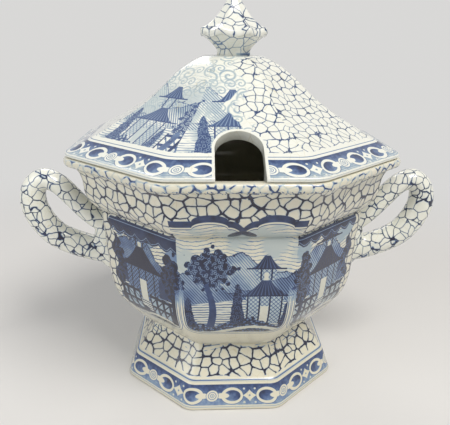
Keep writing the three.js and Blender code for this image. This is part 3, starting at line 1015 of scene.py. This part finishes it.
def cutNotch(bm):
    # an arch pushed through the front slope, square to its face
    half = lid["notchWidth"] / 2
    below, under, deep = lid["cutter"]
    arch = bmesh.new()
    bmesh.ops.create_circle(arch, cap_ends=False, segments=48, radius=half * mm)
    low = [v for v in arch.verts if v.co.y < -1e-6]
    bmesh.ops.delete(arch, geom=low, context="VERTS")
    ends = [v for v in arch.verts if abs(v.co.y) < 1e-6]
    made = bmesh.ops.extrude_vert_indiv(arch, verts=ends)
    bmesh.ops.translate(arch, verts=made["verts"], vec=(0, -(lid["notchLength"] + below) * mm, 0))
    bmesh.ops.contextual_create(arch, geom=made["verts"])
    face = bmesh.ops.contextual_create(arch, geom=arch.edges[:])["faces"]
    depth = bmesh.ops.extrude_face_region(arch, geom=face)["geom"]
    bmesh.ops.translate(arch, verts=onlyVerts(depth), vec=(0, 0, deep * mm))
    bmesh.ops.recalc_face_normals(arch, faces=arch.faces[:])
    corner = (0, -lid["edge"][0] * mm * plan["depthShare"], lid["edge"][1] * mm)
    place = (Matrix.Translation(corner) @ Matrix.Rotation(lid["slant"], 4, "X")
             @ Matrix.Translation((0, (lid["notchLength"] - half) * mm, -under * mm)))
    bmesh.ops.transform(arch, matrix=place, verts=arch.verts[:])
    cutter = addObject("notchCutter", meshFrom(arch, "notchCutter"))
    blankMesh = bpy.data.meshes.new("lidBlank")
    bm.to_mesh(blankMesh)
    blank = addObject("lidBlank", blankMesh)
    cut = blank.modifiers.new("notch", "BOOLEAN")
    cut.operation = "DIFFERENCE"
    cut.solver = "EXACT"
    cut.object = cutter
    graph = bpy.context.evaluated_depsgraph_get()
    result = bpy.data.meshes.new_from_object(blank.evaluated_get(graph))
    bm.clear()
    bm.from_mesh(result)
    for made in (cutter, blank):
        bpy.data.objects.remove(made)
    bmesh.ops.remove_doubles(bm, verts=bm.verts[:], dist=2e-6)
    # round the notch's sharp edges, as glaze does
    sharp = []
    for edge in bm.edges:
        if len(edge.link_faces) != 2 or edge.calc_face_angle(0) < math.radians(50):
            continue
        middle = (edge.verts[0].co + edge.verts[1].co) / 2
        if abs(middle.x) < (half + 0.2) * mm and middle.y < lid["notchArea"][1] * mm:
            sharp.append(edge)
    bmesh.ops.bevel(bm, geom=sharp, affect="EDGES", offset_type="OFFSET", offset=lid["notchRound"] * mm,
                    segments=3, profile=0.5, material=-1, clamp_overlap=True)
    bmesh.ops.recalc_face_normals(bm, faces=bm.faces[:])


def mendWalk(bm, points):
    # the vertices that the notch brought in get the length walked to the outline's nearest point
    walk = bm.verts.layers.float["walk"]
    side, before = (limit * mm for limit in lid["notchArea"])
    for v in bm.verts:
        if abs(v.co.x) > side or v.co.y > before:
            continue
        place = Vector((-v.co.y / plan["depthShare"] / mm, v.co.z / mm))
        walked = 0
        nearest = math.inf
        for start, end in zip(points, points[1:]):
            a, b = Vector(start), Vector(end)
            share = min(max((place - a).dot(b - a) / (b - a).length_squared, 0), 1)
            gap = (a.lerp(b, share) - place).length
            if gap < nearest:
                nearest = gap
                v[walk] = walked + share * (b - a).length
            walked += (b - a).length


knob = {
    "base": 157.0,
    "outline": (           # heights from the base
        (7.3, -0.3), (7.3, 2.1), (13.4, 8.5, (0.2, 0.32), 10), (14.6, 10.0, (1, 0), 5),
        (13.4, 11.5, (0, 1), 5), (5.4, 18.7, (0.55, 0.26), 12), (2.0, 23.9),
        (0.3, 24.99, (0.1, 0.95), 6)),
    "longestFace": 1.2,
    "half": 14.6,
    "droop": 1.3,          # how far each facet's middle sinks at the knob's edge
    "gather": 4,           # the power by which the droop fades towards the middle
    "cellSize": 4.7,
    "lineWidth": 0.2,
    "bloom": 0.4,
    "ink": 0.85,
    "faintTo": 6.5,        # heights from the base up to which the print is faint
    "jointShadeTo": 1.0,        # and the painted shade at the joint with the lid reaches
}


def ballPrint(name, settings, glazeColour):
    # fine cell lines without seams, for pieces that no sheet of print fits
    material, s = startMaterial(name)
    spot, x, _, z = s.place()
    tone = cellPrint(s, pebbles3d, spot, settings) * settings["ink"]
    if "base" in settings:
        # the underside has taken the print faintly
        faintTo = settings["base"] + settings["faintTo"]
        under = s.below(z, faintTo + s.noise(spot, 0.2) * 2.5, 1.5)
        tone = tone * (1.0 - under * 0.45)
        # painted shade: a darker band at the knob's foot where it meets the lid, on its +x half
        jointShade = s.below(z, settings["base"] + settings["jointShadeTo"], 0.6)
        jointShade = jointShade * s.above(x, s.noise(spot, 0.3) * 4.0, 3.0)
        tone = s.most(tone, jointShade * 0.5)
    fireGlaze(s, tone, glazeColour)
    return material


def makeKnob():
    outline = drawOutline(knob["longestFace"], *knob["outline"])
    points = [(half, knob["base"] + height) for half, height in outline]
    bm = turnedPiece(points)
    for v in bm.verts:
        reach = math.hypot(v.co.x, v.co.y / plan["depthShare"]) / mm
        petal = (1 + math.cos(8 * planAngle(v.co))) / 2
        v.co.z -= knob["droop"] * mm * petal * (reach / knob["half"]) ** knob["gather"]
    finishPiece(bm, "facetedKnob", "lid", "lid_knob",
                [ballPrint("knobPrint", knob, glazesWithPaintedLight["lid"])], knob["half"])


handle = {
    "wall": 59.4,          # half of the bowl at the roots
    "sunk": 4.6,           # the arm's line starts this far inside the wall
    "cutAt": 2.6,          # what lies further inside than this is cut away
    "span": 205.4,
    "top": 104.4,
    "lowerRoot": 61.2,
    "upperRoot": 74.6,
    "lowerThick": 13.0,
    "upperThick": 9.6,
    "taper": (0.42, 0.68),   # shares along the arm between which it grows slimmer
    "depth": 11.8,
    # bends of the arm's middle line: share of the way out, and of the rise from its root to the top
    "lowerBends": ((0.2, 0.036), (0.5, 0.125), (0.76, 0.26), (0.94, 0.495)),
    "upperBends": ((1, 0.53), (0.965, 0.83), (0.83, 1), (0.66, 0.9), (0.48, 0.62), (0.27, 0.28),
                   (0.08, 0.08)),
    "stations": 48,
    "pad": (9.0, 7.8, 16.5),   # reach, half depth and half height
    "voxel": 0.65,
    "cellSize": 4.5,
    "lineWidth": 0.22,
    "bloom": 0.5,
    "ink": 0.9,
}


def smoothLine(points, steps):
    # a centripetal spline through the points
    line = [points[0] * 2 - points[1], *points, points[-1] * 2 - points[-2]]
    made = [points[0]]
    for a, b, c, d in zip(line, line[1:], line[2:], line[3:]):
        before, here, after = (math.sqrt((q - p).length) for p, q in ((a, b), (b, c), (c, d)))
        leave = ((b - a) / before - (c - a) / (before + here) + (c - b) / here) * here
        arrive = ((c - b) / here - (d - b) / (here + after) + (d - c) / after) * here
        for step in range(1, steps + 1):
            t = step / steps
            made.append(b * (2 * t ** 3 - 3 * t ** 2 + 1) + leave * (t ** 3 - 2 * t ** 2 + t)
                        + c * (3 * t ** 2 - 2 * t ** 3) + arrive * (t ** 3 - t ** 2))
    return made


def armStations():
    # evenly spaced points of the arm's middle line, as (x, z) in millimetres
    reach = (handle["span"] - handle["lowerThick"]) / 2 - handle["wall"]
    top = handle["top"] - handle["upperThick"] / 2
    points = [Vector((handle["wall"] - handle["sunk"], handle["lowerRoot"]))]
    for root, bends in ((handle["lowerRoot"], handle["lowerBends"]),
                        (handle["upperRoot"], handle["upperBends"])):
        points += [Vector((handle["wall"] + reach * out, root + (top - root) * up)) for out, up in bends]
    points.append(Vector((handle["wall"] - handle["sunk"], handle["upperRoot"])))
    line = smoothLine(points, 16)
    walked = [0.0]
    for a, b in zip(line, line[1:]):
        walked.append(walked[-1] + (b - a).length)
    stations = []
    index = 0
    for step in range(handle["stations"] + 1):
        goal = walked[-1] * step / handle["stations"]
        while index < len(line) - 2 and walked[index + 1] < goal:
            index += 1
        share = (goal - walked[index]) / (walked[index + 1] - walked[index])
        stations.append(line[index].lerp(line[index + 1], share))
    return stations


def sweepArm(bm, mirror):
    # a round section carried along the arm's line, and the pad in the fork of its roots
    stations = armStations()
    verts = bmesh.ops.create_circle(bm, cap_ends=True, segments=24, radius=1.0)["verts"]
    edges = bm.edges[:]
    placed = Matrix.Identity(4)
    for index, station in enumerate(stations):
        before = stations[max(index - 1, 0)]
        after = stations[min(index + 1, len(stations) - 1)]
        share = index / handle["stations"]
        early, late = handle["taper"]
        t = min(max((share - early) / (late - early), 0), 1)
        slimmer = t * t * (3 - 2 * t)
        thick = handle["lowerThick"] + (handle["upperThick"] - handle["lowerThick"]) * slimmer
        heading = Vector((after.x - before.x, 0, after.y - before.y)).normalized()
        outward = Vector((0, 1, 0)).cross(heading)
        place = Matrix((
            (outward.x * thick / 2 * mm, 0, heading.x, station.x * mm),
            (0, handle["depth"] / 2 * mm, 0, 0),
            (outward.z * thick / 2 * mm, 0, heading.z, station.y * mm),
            (0, 0, 0, 1)))
        if index:
            verts, edges = growRing(bm, edges)
        bmesh.ops.transform(bm, matrix=place @ placed.inverted(), verts=verts)
        placed = place
    bmesh.ops.contextual_create(bm, geom=edges)
    fork = (handle["lowerRoot"] + handle["upperRoot"]) / 2
    padPlace = Matrix.Translation((handle["wall"] * mm, 0, fork * mm))
    padSize = Matrix.Diagonal((*(half * mm for half in handle["pad"]), 1))
    bmesh.ops.create_uvsphere(bm, u_segments=32, v_segments=20, radius=1.0, matrix=padPlace @ padSize)
    bmesh.ops.scale(bm, verts=bm.verts[:], vec=(mirror, 1, 1))
    bmesh.ops.recalc_face_normals(bm, faces=bm.faces[:])


def makeHandle(name, node, mirror, material):
    bm = bmesh.new()
    sweepArm(bm, mirror)
    piece = addObject(name, meshFrom(bm, name))
    fuse = piece.modifiers.new("fuse", "REMESH")
    fuse.mode = "VOXEL"
    fuse.voxel_size = handle["voxel"] * mm
    soften = piece.modifiers.new("soften", "SMOOTH")
    soften.factor = 0.5
    soften.iterations = 6
    graph = bpy.context.evaluated_depsgraph_get()
    result = bpy.data.meshes.new_from_object(piece.evaluated_get(graph))
    piece.modifiers.clear()
    piece.data = result
    bm = bmesh.new()
    bm.from_mesh(result)
    inner = (mirror * (handle["wall"] - handle["cutAt"]) * mm, 0, 0)
    bmesh.ops.bisect_plane(bm, geom=bm.verts[:] + bm.edges[:] + bm.faces[:], plane_co=inner,
                           plane_no=(-mirror, 0, 0), clear_outer=True, dist=1e-6)
    bmesh.ops.holes_fill(bm, edges=[e for e in bm.edges if e.is_boundary], sides=0)
    bmesh.ops.recalc_face_normals(bm, faces=bm.faces[:])
    for face in bm.faces:
        face.smooth = True
    bm.to_mesh(result)
    bm.free()
    result.name = name
    result.materials.append(material)
    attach(piece, "tureen")
    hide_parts(node)


makeBowl()
print("bowl built")
makeFoot()
print("foot built")
makeLid()
makeKnob()
print("lid and knob built")
handlePrint = ballPrint("handlePrint", handle, glazesWithPaintedLight["handle"])
makeHandle("handleRight", "handle_right", 1, handlePrint)
makeHandle("handleLeft", "handle_left", -1, handlePrint)
print("handles built")


stage = {
    "paper": (0.70, 0.69, 0.675, 1),
    "haze": (0.69, 0.685, 0.675, 1),    # what the floor fades to, and the backdrop's colour
    "floor": 6.0,
    "fadeFrom": 0.16,
    "fadeTo": 0.42,
    "air": 0.40,           # strength of the light from all round
    "lampsAim": (0, 0, 0.07),
    # place, size, power and colour
    "lamps": {
        "keyLamp": ((0.35, -0.45, 0.95), (0.5, 0.5), 8.5, (1.0, 0.97, 0.93)),
        "fillLamp": ((-0.8, -0.5, 0.45), (0.7, 0.7), 3.4, (0.95, 0.97, 1.0)),
        "backLamp": ((-0.2, 0.9, 0.8), (0.6, 0.4), 2.2, (1.0, 0.98, 0.96)),
    },
}


def makeStage():
    bm = bmesh.new()
    bmesh.ops.create_grid(bm, x_segments=1, y_segments=1, size=stage["floor"])
    floor = addObject("floor", meshFrom(bm, "floor"))
    paper, s = startMaterial("palePaper")
    shader = s.node("ShaderNodeBsdfPrincipled", {"Base Color": stage["paper"], "Roughness": 0.9})
    haze = s.node("ShaderNodeEmission", {"Color": stage["haze"]})
    far = s.vector("LENGTH", s.node("ShaderNodeTexCoord").outputs["Object"])
    middle = (stage["fadeFrom"] + stage["fadeTo"]) / 2
    fade = s.above(far.outputs["Value"], middle, stage["fadeTo"] - stage["fadeFrom"])
    s.finish(s.mix(fade * s.seen(), shader, haze))
    floor.data.materials.append(paper)


def makeLamps():
    for name, (place, size, power, colour) in stage["lamps"].items():
        data = bpy.data.lights.new(name, "AREA")
        data.shape = "RECTANGLE"
        data.size, data.size_y = size
        data.energy = power
        data.color = colour
        lamp = addObject(name, data)
        lamp.location = place
        aim = Vector(stage["lampsAim"]) - Vector(place)
        lamp.rotation_euler = aim.to_track_quat("-Z", "Y").to_euler()


def makeWorld():
    world = bpy.data.worlds.new("studio")
    bpy.context.scene.world = world
    world.use_nodes = True
    world.node_tree.nodes.clear()
    s = Sketch(world.node_tree)
    air = s.node("ShaderNodeBackground", {"Color": (0.80, 0.80, 0.80, 1), "Strength": stage["air"]})
    backdrop = s.node("ShaderNodeBackground", {"Color": stage["haze"]})
    s.finish(s.mix(s.seen(), air, backdrop), "ShaderNodeOutputWorld")


def makeCamera():
    data = bpy.data.cameras.new("camera")
    view = addObject("camera", data)
    turn, height, roll = (math.radians(camera[name]) for name in ("turn", "height", "roll"))
    back = Vector((math.sin(turn) * math.cos(height), -math.cos(turn) * math.cos(height),
                   math.sin(height)))
    view.location = (Vector(camera["target"]) + back * camera["distance"]) * mm
    right = Vector((math.cos(turn), math.sin(turn), 0))
    up = back.cross(right)
    right, up = (right * math.cos(roll) + up * math.sin(roll),
                 up * math.cos(roll) - right * math.sin(roll))
    view.rotation_euler = Matrix((right, up, back)).transposed().to_euler()
    wide, tall = camera["photo"]
    data.sensor_width = 36
    data.lens = camera["focal"] / wide * data.sensor_width
    data.shift_x = (wide / 2 - camera["middle"][0]) / wide
    data.shift_y = (camera["middle"][1] - tall / 2) / wide
    data.clip_start = 0.01
    bpy.context.scene.camera = view


makeStage()
makeWorld()
makeLamps()
makeCamera()
bpy.context.scene.view_settings.view_transform = "Standard"
print("stage, lamps and camera set")
